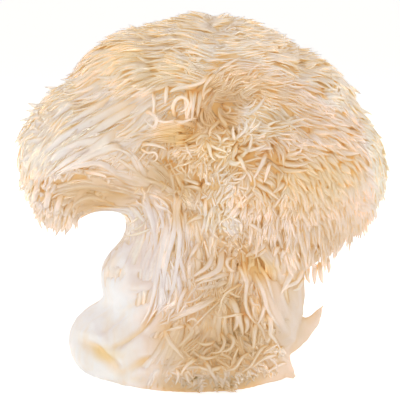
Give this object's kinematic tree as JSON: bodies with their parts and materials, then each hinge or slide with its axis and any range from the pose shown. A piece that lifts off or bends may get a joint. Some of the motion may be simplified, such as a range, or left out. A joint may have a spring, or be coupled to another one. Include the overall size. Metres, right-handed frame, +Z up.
{
  "type": "lion's mane mushroom",
  "caption": "Fresh lion's mane mushroom: a shaggy rounded head with a drooping left lobe, on a fibrous trunk with a flat cut foot.",
  "frame": {"origin": "on the flat cut of the foot, under the middle of the head", "axes": "+Z up from the cut, -Y towards the side with the whorl, -X towards the drooping lobe"},
  "size_m": [0.1385, 0.1105, 0.1377],
  "materials": {
    "flesh": "soft moist ivory flesh"
  },
  "bodies": {
    "root": {"fruiting_body": "flesh"}
  },
  "joints": []
}
